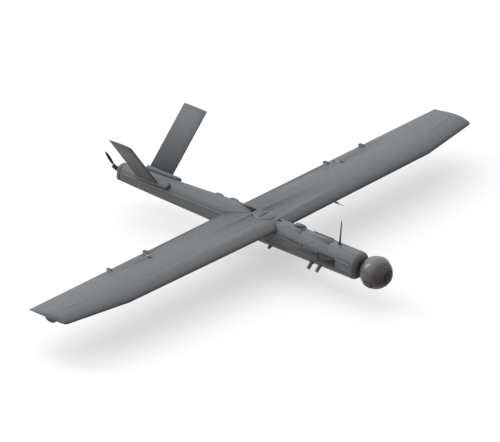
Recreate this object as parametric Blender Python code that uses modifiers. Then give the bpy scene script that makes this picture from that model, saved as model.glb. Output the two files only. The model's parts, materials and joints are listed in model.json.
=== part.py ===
"""A fixed wing drone with a camera ball, a V tail and a folding pusher propeller.

Metres, +X forward, +Y to the drone's left, +Z up. The origin is the middle of the launch rail's
lower face, under the belly. Stations are distances ahead of the propeller's plane.
"""
import math

import bmesh
import bpy
from mathutils import Matrix, Vector

# ---- driving dimensions ------------------------------------------------------------------------
GAP = 0.0003                # between pieces that touch or rest on each other
SEAM = 0.0005               # between body shells
RUN = 0.0008                # between a moving piece and what it moves past

BODY_HALF = 0.052           # half width and half height of the body
TAIL_HALF = 0.030           # the same at the tail cap
WALL = 0.002                # body shell
TAIL_END = 0.026            # stations along the body
TAIL_SHELL_START = 0.046
TAPER_END = 0.560
TAIL_SHELL_END = 0.500
CENTRE_END = 0.835
NOSE_START = 1.164
NOSE_ROUND = 0.023          # length of the nose cap, and the radius of its edge
NOSE_HOLE = 0.026
TOP_CORNER = 0.79           # corner radii of the body's section, as shares of its half width
LOW_CORNER = 0.79
TAIL_TOP_CORNER = 0.99
TAIL_LOW_CORNER = 0.12

RAIL_START = 0.838          # launch rail under the belly
RAIL_END = 1.068
RAIL_WIDTH = 0.018
RAIL_HEIGHT = 0.005
STRIP_RADIUS = 0.0014       # thin rails along both sides
STRIP_HEIGHT = 0.31         # as a share of the body's half width
STRIP_DROP = 0.006          # lower than that at the tail

WING_SPAN = 2.540
WING_TE = 0.570             # station of the straight trailing edge
ROOT_CHORD = 0.239
KINK_CHORD = 0.227
TIP_CHORD = 0.177
TIP_ROUND = 0.014           # corner of the leading edge at the tip
KINK_Y = 0.936
WING_SINK = 0.024           # trailing edge below the top of the body
INCIDENCE = 0.014           # rise of the leading edge, as a share of the chord
WING_THICKNESS = 0.145
WING_CAMBER = 0.042
CAMBER_AT = 0.38
EDGE_THICKNESS = 0.0008     # trailing edges

AILERON_IN = 0.566
AILERON_OUT = 0.786
AILERON_CHORD = 0.025
HINGE_PIN_R = 0.0008
FIN_LENGTH = 0.032          # hinge fins at both ends of each aileron
FIN_HEIGHT = 0.012
FIN_THICKNESS = 0.0025
SKID_INBOARD = 0.006        # round plates under the wing tips
SKID_LENGTH = 0.052
SKID_DEPTH = 0.014
SKID_ROOT = 0.010           # how far they reach up into the wing
SKID_AT = 0.58              # share of the tip's chord ahead of the trailing edge
PITOT_Y = 0.345
PITOT_R = 0.0045
PITOT_BODY = 0.024
PITOT_LENGTH = 0.047
PITOT_BACK = 0.018          # its rear end behind the leading edge
HORN_ARM = 0.010            # aileron horn and servo arm
HORN_Y = 0.597
SERVO_REACH = 0.034         # servo shaft ahead of the aileron's hinge
PUSH_ROD_R = 0.0008

JOINER_R = 0.006
JOINER_LENGTH = 0.560
KNOB_R = 0.042
KNOB_DEPTH = 0.008
KNOB_BACK = 0.091           # knob's centre behind the wing's leading edge
KNOB_Y = -0.010
KNOB_SLOT = 0.058
KNOB_SLOT_WIDTH = 0.006

TAIL_LE = 0.238             # station of the V tail's leading edges
TAIL_CHORD = 0.110
TAIL_SPAN = 0.280
TAIL_TILT = math.radians(42.5)   # from vertical
TAIL_OFFSET = 0.012         # panel's plane outboard of the body's axis
TAIL_PIVOT = 0.30           # share of the chord
TAIL_THICKNESS = 0.10
PIVOT_R = 0.004
POD_TOP = 0.056             # fairing's top above the body's axis
POD_FRONT = 0.286
POD_BACK = 0.120
POD_WIDTH = 0.030
POD_SHIFT = 0.006           # fairing's middle inboard of the panel's plane
POD_BASE = 0.022

BALL_R = 0.0635
BALL_WALL = 0.0025
BALL_GAP = 0.0015
STEM_R = 0.012
WINDOW_R = 0.026
GIMBAL_ROLL = math.radians(35.0)   # how far the ball is shown rolled about the body's axis
SIDE_CAP_R = 0.021

PROP_R = 0.118
PROP_TURN = math.radians(39.0)
FOLD_R = 0.014              # fold pins from the shaft
BLADE_WIDTH = 0.0125
SHAFT_R = 0.0025
MOTOR_R = 0.017
MOTOR_LENGTH = 0.034

HATCH_START = 0.905
HATCH_END = 1.040
HATCH_HALF = 0.036
WINDOW_START = 1.016
WINDOW_END = 1.093
WINDOW_LOW = -0.016
WINDOW_HIGH = 0.018

# ---- places worked out from them ---------------------------------------------------------------
ORIGIN_STATION = (RAIL_START + RAIL_END) / 2
AXIS_Z = BODY_HALF + GAP + RAIL_HEIGHT
NOSE_END = NOSE_START + NOSE_ROUND
BALL_STATION = NOSE_END + BALL_GAP + BALL_R
WING_Z = AXIS_Z + BODY_HALF - WING_SINK
HINGE_STATION = WING_TE + AILERON_CHORD
HALF_SPAN = WING_SPAN / 2


def at(station):
    """X of a station."""
    return station - ORIGIN_STATION


HINGE_X = at(HINGE_STATION)
KNOB_X = at(WING_TE + ROOT_CHORD - KNOB_BACK)
PIVOT_X = at(TAIL_LE - TAIL_PIVOT * TAIL_CHORD)
BALL_X = at(BALL_STATION)

# ---- the scene ---------------------------------------------------------------------------------
for old in list(bpy.data.objects):
    bpy.data.objects.remove(old, do_unlink=True)
PARTS = bpy.data.collections.new("Fixed wing drone")
CUTTERS = bpy.data.collections.new("Cutters")
bpy.context.scene.collection.children.link(PARTS)
bpy.context.scene.collection.children.link(CUTTERS)


def material(name, colour, roughness, metallic=0.0):
    made = bpy.data.materials.new(name)
    made.use_nodes = True
    shader = made.node_tree.nodes["Principled BSDF"]
    shader.inputs["Base Color"].default_value = (*colour, 1.0)
    shader.inputs["Roughness"].default_value = roughness
    shader.inputs["Metallic"].default_value = metallic
    return made


PAINT = material("Airframe paint", (0.17, 0.18, 0.19), 0.55)
BALL_PAINT = material("Ball shell", (0.07, 0.072, 0.075), 0.25)
GLASS = material("Dark glass", (0.02, 0.02, 0.022), 0.08)
CARBON = material("Carbon blade", (0.03, 0.03, 0.032), 0.35)
DARK = material("Dark plastic", (0.04, 0.04, 0.042), 0.5)
METAL = material("Bright metal", (0.6, 0.6, 0.62), 0.3, 1.0)
BRASS = material("Brass", (0.55, 0.42, 0.18), 0.35, 1.0)
PACK = material("Battery wrap", (0.05, 0.08, 0.16), 0.4)


# ---- modelling helpers -------------------------------------------------------------------------
def place(obj, mat, smooth=35.0):
    """Give an object its material and smooth shading, and put it with the parts."""
    obj.data.materials.clear()
    obj.data.materials.append(mat)
    PARTS.objects.link(obj)
    if obj.type == "MESH" and smooth:
        obj.data.shade_smooth()
        obj.data.set_sharp_from_angle(angle=math.radians(smooth))
    return obj


def as_cutter(obj):
    CUTTERS.objects.link(obj)
    obj.hide_render = True
    obj.display_type = "WIRE"
    return obj


def from_bmesh(name, shape):
    bmesh.ops.recalc_face_normals(shape, faces=shape.faces)
    mesh = bpy.data.meshes.new(name)
    shape.to_mesh(mesh)
    shape.free()
    return bpy.data.objects.new(name, mesh)


def box(name, low, high):
    shape = bmesh.new()
    bmesh.ops.create_cube(shape, size=1.0)
    low, high = Vector(low), Vector(high)
    size = high - low
    bmesh.ops.transform(shape, verts=shape.verts,
                        matrix=Matrix.Translation((low + high) / 2) @ Matrix.Diagonal((*size, 1.0)))
    return from_bmesh(name, shape)


def cylinder(name, start, end, radius, sides=32, tip_radius=None):
    """A closed cylinder, or a cone, from start to end."""
    start, end = Vector(start), Vector(end)
    shape = bmesh.new()
    bmesh.ops.create_cone(shape, cap_ends=True, segments=sides, radius1=radius,
                          radius2=radius if tip_radius is None else tip_radius, depth=(end - start).length)
    turn = (end - start).to_track_quat("Z", "Y").to_matrix().to_4x4()
    bmesh.ops.transform(shape, verts=shape.verts, matrix=Matrix.Translation((start + end) / 2) @ turn)
    return from_bmesh(name, shape)


def sphere(name, centre, radius, scale=(1, 1, 1), segments=48, rings=24):
    shape = bmesh.new()
    bmesh.ops.create_uvsphere(shape, u_segments=segments, v_segments=rings, radius=radius)
    bmesh.ops.transform(shape, verts=shape.verts,
                        matrix=Matrix.Translation(centre) @ Matrix.Diagonal((*scale, 1.0)))
    return from_bmesh(name, shape)


def loft(name, rings):
    """A closed solid through rings that have the same number of points."""
    shape = bmesh.new()
    rows = [[shape.verts.new(point) for point in ring] for ring in rings]
    count = len(rows[0])
    for first, second in zip(rows, rows[1:]):
        for i in range(count):
            j = (i + 1) % count
            shape.faces.new((first[i], first[j], second[j], second[i]))
    shape.faces.new(rows[0])
    shape.faces.new(rows[-1])
    return from_bmesh(name, shape)


def hollow_loft(name, outer, inner):
    """A tube through outer rings, open at both ends, with inner rings for its inside."""
    shape = bmesh.new()
    rows = [[shape.verts.new(point) for point in ring] for ring in outer + inner[::-1]]
    count = len(rows[0])
    for k, first in enumerate(rows):
        second = rows[(k + 1) % len(rows)]
        for i in range(count):
            j = (i + 1) % count
            shape.faces.new((first[i], first[j], second[j], second[i]))
    return from_bmesh(name, shape)


def plate(name, outline, thickness):
    """A flat outline in X and Y, as thick as stated along Z, made a mesh so that it can be cut."""
    curve = bpy.data.curves.new(name, "CURVE")
    curve.dimensions = "2D"
    curve.fill_mode = "BOTH"
    curve.extrude = thickness / 2
    spline = curve.splines.new("POLY")
    spline.points.add(len(outline) - 1)
    for point, (x, y) in zip(spline.points, outline):
        point.co = (x, y, 0.0, 1.0)
    spline.use_cyclic_u = True
    guide = bpy.data.objects.new(name + " outline", curve)
    bpy.context.scene.collection.objects.link(guide)
    view = bpy.context.evaluated_depsgraph_get()
    mesh = bpy.data.meshes.new_from_object(guide.evaluated_get(view))
    bpy.data.objects.remove(guide)
    shape = bmesh.new()
    shape.from_mesh(mesh)
    bpy.data.meshes.remove(mesh)
    bmesh.ops.remove_doubles(shape, verts=shape.verts, dist=1e-6)
    bmesh.ops.dissolve_limit(shape, angle_limit=0.01, verts=shape.verts, edges=shape.edges)
    return from_bmesh(name, shape)


def move_mesh(obj, matrix):
    obj.data.transform(matrix)
    return obj


def tube_curve(name, points, radius, resolution=2):
    curve = bpy.data.curves.new(name, "CURVE")
    curve.dimensions = "3D"
    curve.bevel_depth = radius
    curve.bevel_resolution = resolution
    curve.use_fill_caps = True
    spline = curve.splines.new("POLY")
    spline.points.add(len(points) - 1)
    for point, place_at in zip(spline.points, points):
        point.co = (*place_at, 1.0)
    return bpy.data.objects.new(name, curve)


def turned(name, profile, steps=32):
    """A solid turned about Z from (radius, height) points that start and end on the axis, top first."""
    mesh = bpy.data.meshes.new(name)
    mesh.from_pydata([(r, 0.0, z) for r, z in profile],
                     [(i, i + 1) for i in range(len(profile) - 1)], [])
    obj = bpy.data.objects.new(name, mesh)
    screw = obj.modifiers.new("Turn", "SCREW")
    screw.axis = "Z"
    screw.steps = steps
    screw.render_steps = steps
    screw.use_merge_vertices = True
    screw.merge_threshold = 1e-5
    return obj


def boolean(obj, tool, operation="DIFFERENCE"):
    modifier = obj.modifiers.new(operation.title(), "BOOLEAN")
    modifier.operation = operation
    modifier.solver = "EXACT"
    modifier.object = tool
    return obj


def bevel(obj, width, segments=2, angle=30.0):
    modifier = obj.modifiers.new("Edge", "BEVEL")
    modifier.width = width
    modifier.segments = segments
    modifier.limit_method = "ANGLE"
    modifier.angle_limit = math.radians(angle)
    return obj


# ---- the body's sections -----------------------------------------------------------------------
CORNER_STEPS = 7


def taper(station):
    share = (station - TAIL_END) / (TAPER_END - TAIL_END)
    return max(0.0, min(1.0, share))


def body_half(station):
    return TAIL_HALF + (BODY_HALF - TAIL_HALF) * taper(station)


def corner_radii(station):
    """Top and lower corner radii of the section."""
    half = body_half(station)
    share = taper(station)
    top = TAIL_TOP_CORNER + (TOP_CORNER - TAIL_TOP_CORNER) * share
    low = TAIL_LOW_CORNER + (LOW_CORNER - TAIL_LOW_CORNER) * min(1.0, 1.35 * share)
    return half * top, half * low


def section(station, inset=0.0):
    """Ring of the body's rounded square section, moved in by inset."""
    half = body_half(station) - inset
    top, low = (max(radius - inset, 0.0008) for radius in corner_radii(station))
    ring = []
    for start, radius in ((0, top), (90, top), (180, low), (270, low)):
        centre_y = (half - radius) * (1 if start in (0, 270) else -1)
        centre_z = (half - radius) * (1 if start in (0, 90) else -1)
        for step in range(CORNER_STEPS + 1):
            angle = math.radians(start + 90 * step / CORNER_STEPS)
            ring.append((at(station), centre_y + radius * math.cos(angle),
                         AXIS_Z + centre_z + radius * math.sin(angle)))
    return ring


def side_y(station, height):
    """Half width of the body at a height above its axis."""
    half = body_half(station)
    radius = corner_radii(station)[0 if height > 0 else 1]
    over = abs(height) - (half - radius)
    return half if over <= 0 else half - radius + math.sqrt(max(radius ** 2 - over ** 2, 0.0))


def stations_between(start, end):
    middle = [s for s in (0.100, 0.200, 0.300, 0.430, TAPER_END) if start < s < end]
    return [start] + middle + [end]


def shell(name, start, end):
    stops = stations_between(start, end)
    return hollow_loft(name, [section(s) for s in stops], [section(s, WALL) for s in stops])


def outer_form(name, start, end, grow):
    """The body's solid outer form, larger by grow, to cut what sits on it."""
    return loft(name, [section(s, -grow) for s in stations_between(start, end)])


BODY_FORM = as_cutter(outer_form("Body form", TAIL_SHELL_START, NOSE_START, GAP))


# ---- wing sections -----------------------------------------------------------------------------
FOIL_STEPS = 13


def foil(share, thickness, camber):
    """Upper and lower heights of the wing section at a share of the chord, as shares of it."""
    half = 5 * thickness * (0.2969 * math.sqrt(share) - 0.1260 * share - 0.3516 * share ** 2
                            + 0.2843 * share ** 3 - 0.1036 * share ** 4)
    if share < CAMBER_AT:
        line = camber / CAMBER_AT ** 2 * (2 * CAMBER_AT * share - share ** 2)
    else:
        line = camber / (1 - CAMBER_AT) ** 2 * (1 - 2 * CAMBER_AT + 2 * CAMBER_AT * share - share ** 2)
    return line + half, line - half


def foil_points(chord, thickness, camber, grow=0.0, incidence=INCIDENCE, steps=FOIL_STEPS):
    """(x, z) from the trailing edge over the top to the leading edge and back below."""
    shares = [0.5 * (1 + math.cos(math.pi * i / steps)) for i in range(steps + 1)]
    upper, lower = [], []
    for share in shares:
        high, low = foil(share, thickness, camber)
        x = chord * (1 - share) + grow * (1 - 2 * share)
        rise = incidence * chord * (1 - share)
        edge = EDGE_THICKNESS / 2 * share + grow
        upper.append((x, rise + chord * high + edge))
        lower.append((x, rise + chord * low - edge))
    front = upper.pop()
    lower.pop()
    return upper + [(front[0], (front[1] + incidence * chord - edge) / 2)] + lower[::-1]


def wing_chord(y):
    y = abs(y)
    if y <= KINK_Y:
        return ROOT_CHORD + (KINK_CHORD - ROOT_CHORD) * y / KINK_Y
    round_share = min(1.0, max(0.0, (y - HALF_SPAN + TIP_ROUND) / TIP_ROUND))
    corner = TIP_ROUND * (1 - math.sqrt(1 - round_share ** 2))
    return KINK_CHORD + (TIP_CHORD - KINK_CHORD) * (y - KINK_Y) / (HALF_SPAN - KINK_Y) - corner


def wing_ring(y, thin=1.0, grow=0.0, chord=None):
    chord = wing_chord(y) if chord is None else chord
    mid = 0.5 * INCIDENCE * chord
    return [(at(WING_TE) + x, y, WING_Z + mid + (z - mid) * thin)
            for x, z in foil_points(chord, WING_THICKNESS, WING_CAMBER, grow)]


def wing_height(x_station, y, upper=True):
    """Z of the wing's surface at a station."""
    chord = wing_chord(y)
    share = 1 - (x_station - WING_TE) / chord
    high, low = foil(share, WING_THICKNESS, WING_CAMBER)
    rise = INCIDENCE * chord * (1 - share)
    return WING_Z + rise + chord * (high if upper else low)


HINGE_Z = (wing_height(HINGE_STATION, AILERON_IN) + wing_height(HINGE_STATION, AILERON_IN, False)) / 2
HINGE_NOSE = (wing_height(HINGE_STATION, AILERON_IN) - wing_height(HINGE_STATION, AILERON_IN, False)) / 2


# ---- body --------------------------------------------------------------------------------------
def make_body():
    tail = place(shell("tail_shell", TAIL_SHELL_START + SEAM, TAIL_SHELL_END - SEAM), PAINT)
    for side in (1, -1):
        boolean(tail, tail_cutter(f"Tail pivot hole {side}", side, PIVOT_R + 0.0015))

    centre = place(shell("centre_shell", TAIL_SHELL_END, CENTRE_END - SEAM), PAINT)
    tunnel = loft("Wing tunnel", [wing_ring(y, grow=SEAM, chord=ROOT_CHORD) for y in (-0.2, 0.2)])
    boolean(centre, as_cutter(tunnel))

    nose = place(shell("nose_shell", CENTRE_END, NOSE_START - SEAM), PAINT)
    boolean(nose, as_cutter(hatch_box("Hatch opening", SEAM)))
    boolean(nose, as_cutter(window_box("Window opening", SEAM)))
    boolean(nose, as_cutter(button_hole()))

    hatch = place(shell("battery_hatch", CENTRE_END, NOSE_START - SEAM), PAINT)
    boolean(hatch, as_cutter(hatch_box("Hatch shape", 0.0)), "INTERSECT")
    window = place(shell("side_window", CENTRE_END, NOSE_START - SEAM), DARK)
    boolean(window, as_cutter(window_box("Window shape", 0.0)), "INTERSECT")

    steps = 6
    outer = []
    for i in range(steps + 1):
        angle = math.pi / 2 * i / steps
        inset = NOSE_ROUND * (1 - math.cos(angle)) * 0.95
        station = NOSE_START + NOSE_ROUND * math.sin(angle)
        outer.append([(at(station), y, z) for _, y, z in section(NOSE_START, inset)])
    cap = loft("nose_cap", outer)
    boolean(place(cap, PAINT), as_cutter(loft("Nose cap inside", [
        [(at(NOSE_START) - 0.001, y, z) for _, y, z in section(NOSE_START, WALL)],
        [(at(NOSE_START) + NOSE_ROUND * 0.6, y, z) for _, y, z in section(NOSE_START, WALL + 0.009)]])))
    boolean(cap, as_cutter(cylinder("Nose hole", (at(NOSE_START), 0, AXIS_Z), (at(NOSE_END) + 0.01, 0, AXIS_Z),
                                    NOSE_HOLE, 28)))

    tail_cap = loft("tail_cap", [
        [(at(TAIL_END), y, z) for _, y, z in section(TAIL_END, 0.007)],
        [(at(TAIL_END) + 0.008, y, z) for _, y, z in section(TAIL_END, 0.0)],
        section(TAIL_SHELL_START)])
    place(tail_cap, PAINT)
    boolean(tail_cap, as_cutter(cylinder("Motor opening", (at(TAIL_END) - 0.01, 0, AXIS_Z),
                                         (at(TAIL_SHELL_START) + 0.01, 0, AXIS_Z), MOTOR_R + 0.003, 28)))


def hatch_box(name, grow):
    return box(name, (at(HATCH_START) - grow, -HATCH_HALF - grow, AXIS_Z + BODY_HALF * 0.5),
               (at(HATCH_END) + grow, HATCH_HALF + grow, AXIS_Z + BODY_HALF + 0.02))


def window_box(name, grow):
    return box(name, (at(WINDOW_START) - grow, -BODY_HALF - 0.02, AXIS_Z + WINDOW_LOW - grow),
               (at(WINDOW_END) + grow, -BODY_HALF * 0.7, AXIS_Z + WINDOW_HIGH + grow))


BUTTON_STATION = 0.934
BUTTON_HEIGHT = 0.017
BUTTON_R = 0.0055


def button_hole():
    x, z = at(BUTTON_STATION), AXIS_Z + BUTTON_HEIGHT
    return cylinder("Button hole", (x, -BODY_HALF - 0.02, z), (x, -BODY_HALF * 0.6, z), BUTTON_R + RUN, 24)


def make_button():
    x, z = at(BUTTON_STATION), AXIS_Z + BUTTON_HEIGHT
    face = side_y(BUTTON_STATION, BUTTON_HEIGHT) - 0.0012
    inside = side_y(BUTTON_STATION, BUTTON_HEIGHT + BUTTON_R + 0.002) - WALL - 0.0012
    button = turned("arming_button", [(0, 0), (BUTTON_R, 0), (BUTTON_R, inside - face),
                                      (BUTTON_R + 0.002, inside - face), (BUTTON_R + 0.002, inside - face - 0.002),
                                      (0, inside - face - 0.002)], 24)
    place(button, DARK)
    button.location = (x, -face, z)
    button.rotation_euler = (math.pi / 2, 0, 0)


def make_inside():
    """Bulkheads, battery and boxes: simple solids that sit clear of the shells."""
    frames = (("motor_plate", TAIL_SHELL_START + MOTOR_LENGTH + 0.006, None),
              ("nose_bulkhead", NOSE_START - 0.014, 0.0048))
    for name, station, hole in frames:
        rings = [section(s, WALL + GAP) for s in (station, station + 0.004)]
        frame = place(loft(name, rings), METAL if hole is None else DARK)
        if hole:
            boolean(frame, as_cutter(cylinder(name + " hole", (at(station) - 0.01, 0, AXIS_Z),
                                              (at(station) + 0.02, 0, AXIS_Z), hole, 24)))
    blocks = (("battery_pack", 0.912, 1.032, 0.060, 0.050, -0.029, PACK),
              ("autopilot_box", 1.044, 1.104, 0.052, 0.022, -0.021, DARK),
              ("data_radio", 0.650, 0.740, 0.050, 0.018, -0.025, DARK),
              ("speed_controller", 0.110, 0.160, 0.026, 0.012, -0.006, DARK))
    for name, start, end, width, height, drop, mat in blocks:
        low = AXIS_Z + drop
        block = place(box(name, (at(start), -width / 2, low), (at(end), width / 2, low + height)), mat)
        bevel(block, 0.0015)


def strip_height(station):
    return STRIP_HEIGHT * body_half(station) - STRIP_DROP * (1 - taper(station))


def make_strips():
    """Thin rails along both sides of the body, with a break at the side window."""
    ahead = NOSE_START - 0.004
    runs = (("left_side_rail", 1, 0.060, ahead), ("right_side_rail", -1, 0.060, WINDOW_START - 0.003),
            ("right_front_rail", -1, WINDOW_END + 0.003, ahead))
    for name, side, start, end in runs:
        knots = [0.100, 0.200, 0.300, 0.400, 0.480, TAPER_END]
        stops = [start] + [s for s in knots if start < s < end] + [end]
        points = [(at(s), side * (side_y(s, strip_height(s)) + STRIP_RADIUS + GAP), AXIS_Z + strip_height(s))
                  for s in stops]
        place(tube_curve(name, points, STRIP_RADIUS), PAINT)


def make_rail():
    rail = box("launch_rail", (at(RAIL_START), -RAIL_WIDTH / 2, 0), (at(RAIL_END), RAIL_WIDTH / 2, RAIL_HEIGHT))
    bevel(place(rail, PAINT), 0.0012, 1)


# ---- wing --------------------------------------------------------------------------------------
def make_wing(side):
    word = "left" if side > 0 else "right"
    stops = ((GAP, 1.0), (0.5 * KINK_Y, 1.0), (KINK_Y, 1.0), (HALF_SPAN - 0.030, 1.0),
             (HALF_SPAN - TIP_ROUND, 0.94), (HALF_SPAN - 0.5 * TIP_ROUND, 0.84), (HALF_SPAN - 0.2 * TIP_ROUND, 0.62),
             (HALF_SPAN, 0.30))
    wing = place(loft(word + "_wing", [wing_ring(side * y, thin) for y, thin in stops]), PAINT, 50)
    cove = HINGE_X + HINGE_NOSE + RUN
    ends = sorted((side * (AILERON_IN - RUN), side * (AILERON_OUT + RUN)))
    boolean(wing, as_cutter(box(word + " aileron cut", (at(WING_TE) - 0.01, ends[0], WING_Z - 0.03),
                                (cove, ends[1], WING_Z + 0.06))))
    boolean(wing, joiner_hole(side))
    boolean(wing, knob_pocket(side))
    boolean(wing, servo_pocket(word, side))
    make_aileron(word, side)
    make_servo(word, side)
    add_fins(wing, word, side)
    add_skid(wing, word, side)


JOINER_STATION = WING_TE + 0.62 * ROOT_CHORD
JOINER_Z = WING_Z + 0.62 * INCIDENCE * ROOT_CHORD + 0.024 * ROOT_CHORD


def joiner_hole(side):
    ends = sorted((0.0, side * (JOINER_LENGTH / 2 + 0.001)))
    low = ends[0] - (0.001 if side > 0 else 0)
    high = ends[1] + (0.001 if side < 0 else 0)
    return as_cutter(cylinder(f"Joiner bore {side}", (at(JOINER_STATION), low, JOINER_Z),
                              (at(JOINER_STATION), high, JOINER_Z), JOINER_R + GAP, 24))


def knob_floor():
    return wing_height(WING_TE + ROOT_CHORD - KNOB_BACK, 0) - KNOB_DEPTH


def knob_pocket(side):
    return as_cutter(cylinder(f"Knob pocket {side}", (KNOB_X, KNOB_Y, knob_floor()),
                              (KNOB_X, KNOB_Y, WING_Z + 0.1), KNOB_R + RUN, 32))


def make_knob():
    top = KNOB_DEPTH - GAP
    knob = cylinder("wing_lock_knob", (0, 0, 0), (0, 0, top), KNOB_R, 32)
    place(knob, PAINT)
    knob.location = (KNOB_X, KNOB_Y, knob_floor() + GAP)
    slot = as_cutter(box("Knob slot", (-KNOB_SLOT_WIDTH / 2, -KNOB_SLOT / 2, top - 0.0036),
                         (KNOB_SLOT_WIDTH / 2, KNOB_SLOT / 2, top + 0.01)))
    slot.location = knob.location
    bevel(knob, 0.0012, 1, 60)
    boolean(knob, slot)
    rod = place(cylinder("wing_joiner_rod", (at(JOINER_STATION), -JOINER_LENGTH / 2, JOINER_Z),
                         (at(JOINER_STATION), JOINER_LENGTH / 2, JOINER_Z), JOINER_R, 24), METAL)
    return rod


def make_aileron(word, side):
    """Wedge with a round nose on the hinge line."""
    rings = []
    steps = 8
    tail_x = at(WING_TE)
    for y in (AILERON_IN, AILERON_OUT):
        ring = [(tail_x, side * y, WING_Z + EDGE_THICKNESS)]
        for i in range(steps + 1):
            angle = math.radians(80 - 160 * i / steps)
            ring.append((HINGE_X + HINGE_NOSE * math.cos(angle), side * y, HINGE_Z + HINGE_NOSE * math.sin(angle)))
        ring.append((tail_x, side * y, WING_Z - EDGE_THICKNESS / 2))
        rings.append(ring)
    aileron = loft(word + "_aileron", rings)
    move_mesh(aileron, Matrix.Translation((-HINGE_X, 0, -HINGE_Z)))
    place(aileron, PAINT)
    aileron.location = (HINGE_X, 0, HINGE_Z)
    low, high = sorted((side * (AILERON_IN - 0.02), side * (AILERON_OUT + 0.02)))
    bore = cylinder(word + " hinge bore", (HINGE_X, low, HINGE_Z), (HINGE_X, high, HINGE_Z), HINGE_PIN_R + GAP, 12)
    boolean(aileron, as_cutter(bore))
    horn = plate(word + " aileron horn", horn_outline(), 0.0016)
    move_mesh(horn, Matrix.Translation((0, side * HORN_Y, 0)) @ Matrix.Rotation(math.pi / 2, 4, "X"))
    horn.location = (HINGE_X, 0, HINGE_Z)
    boolean(aileron, as_cutter(horn), "UNION")


def horn_outline():
    """Horn that stands on the aileron, with its eye above the hinge line."""
    foot = HINGE_NOSE - 0.0008
    return [(-0.008, foot), (0.0, foot), (0.0022, HORN_ARM - 0.001), (0.0016, HORN_ARM + 0.0016),
            (-0.0016, HORN_ARM + 0.0016), (-0.0028, HORN_ARM - 0.001)]


SERVO_X = HINGE_X + SERVO_REACH
SERVO_Z = HINGE_Z + 0.0015


def servo_pocket(word, side):
    """Slot in the wing's top, where the servo lies and its arm stands out."""
    y = side * (HORN_Y + 0.004)
    return as_cutter(box(word + " servo slot", (SERVO_X - 0.012, y - 0.0105, SERVO_Z - 0.0035),
                         (SERVO_X + 0.014, y + 0.0105, WING_Z + 0.08)))


def make_servo(word, side):
    y = side * (HORN_Y + 0.006)
    servo = box(word + "_aileron_servo", (SERVO_X - 0.010, y - 0.006, SERVO_Z - 0.0032),
                (SERVO_X + 0.012, y + 0.006, SERVO_Z + 0.0055))
    place(servo, DARK)
    arm = plate(word + "_servo_arm", [(0.0022, -0.0022), (0.0016, HORN_ARM + 0.0016), (-0.0016, HORN_ARM + 0.0016),
                                      (-0.0022, -0.0022)], 0.0016)
    arm_y = side * (HORN_Y - 0.0014)
    move_mesh(arm, Matrix.Translation((0, arm_y, 0)) @ Matrix.Rotation(math.pi / 2, 4, "X"))
    place(arm, DARK)
    arm.location = (SERVO_X, 0, SERVO_Z)
    rod_y = side * (HORN_Y - 0.0014 - 0.0008 - PUSH_ROD_R - GAP)
    drop = HINGE_Z - SERVO_Z
    place(cylinder(word + "_push_rod", (SERVO_X + 0.001, rod_y, SERVO_Z + HORN_ARM),
                   (HINGE_X - 0.001, rod_y, SERVO_Z + HORN_ARM + drop), PUSH_ROD_R, 10), METAL)


def add_fins(wing, word, side):
    """Upright hinge fins moulded just outside both ends of the aileron, each with a pin into it."""
    inner, outer = AILERON_IN - RUN - FIN_THICKNESS / 2, AILERON_OUT + RUN + FIN_THICKNESS / 2
    for end, y, inward in (("inner", inner, 1), ("outer", outer, -1)):
        steps = 10
        outline = [(FIN_LENGTH / 2 * math.cos(math.pi * i / steps), FIN_HEIGHT * math.sin(math.pi * i / steps) ** 0.7)
                   for i in range(steps + 1)]
        outline = outline[:-1] + [(-FIN_LENGTH / 2, 0.0), (-FIN_LENGTH / 2 + 0.004, -0.004),
                                  (FIN_LENGTH / 2 - 0.004, -0.004)]
        fin = plate(f"{word} {end} hinge fin", outline, FIN_THICKNESS)
        centre = (at(WING_TE) + FIN_LENGTH / 2 - 0.004, side * y, wing_height(WING_TE + 0.012, y) + 0.0005)
        move_mesh(fin, Matrix.Translation(centre) @ Matrix.Rotation(math.pi / 2, 4, "X"))
        boolean(wing, as_cutter(fin), "UNION")
        pin = cylinder(f"{word} {end} hinge pin", (HINGE_X, side * y, HINGE_Z),
                       (HINGE_X, side * (y + inward * 0.012), HINGE_Z), HINGE_PIN_R, 12)
        boolean(wing, as_cutter(pin), "UNION")


def add_skid(wing, word, side):
    """Half-round plate under the wing tip."""
    y = HALF_SPAN - SKID_INBOARD
    half = SKID_LENGTH / 2
    steps = 8
    outline = [(half * math.cos(math.pi * i / steps), -SKID_DEPTH * math.sin(math.pi * i / steps))
               for i in range(steps + 1)]
    outline = [(half, SKID_ROOT)] + outline + [(-half, SKID_ROOT)]
    skid = plate(word + " tip skid", outline, 0.004)
    station = WING_TE + SKID_AT * TIP_CHORD
    centre = (at(station), side * y, wing_height(station, y, False) + 0.0012)
    move_mesh(skid, Matrix.Translation(centre) @ Matrix.Rotation(math.pi / 2, 4, "X"))
    boolean(wing, as_cutter(skid), "UNION")


def make_pitot():
    """Stout probe under the left leading edge, its tip ahead of it."""
    back = WING_TE + wing_chord(PITOT_Y) - PITOT_BACK
    outline = [(0, PITOT_LENGTH), (PITOT_R * 0.26, PITOT_LENGTH), (PITOT_R * 0.45, PITOT_BODY + 0.008),
               (PITOT_R, PITOT_BODY), (PITOT_R, 0.004), (PITOT_R * 0.55, 0), (0, 0)]
    probe = place(turned("pitot_probe", outline, 20), PAINT)
    probe.location = (at(back), PITOT_Y, wing_height(back, PITOT_Y, False) - GAP - PITOT_R)
    probe.rotation_euler = (0, math.pi / 2, 0)


# ---- V tail ------------------------------------------------------------------------------------
def tail_frame(side):
    """Matrix of a V-tail panel: its Z runs out along the panel from the level of the body's axis."""
    turn = Matrix.Rotation(-side * TAIL_TILT, 4, "X")
    return Matrix.Translation((PIVOT_X, 0, AXIS_Z)) @ turn @ Matrix.Translation((0, side * TAIL_OFFSET, 0))


def tail_cutter(name, side, radius):
    tool = cylinder(name, (0, 0, 0.012), (0, 0, 0.080), radius, 24)
    tool.matrix_world = tail_frame(side)
    return as_cutter(tool)


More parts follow.
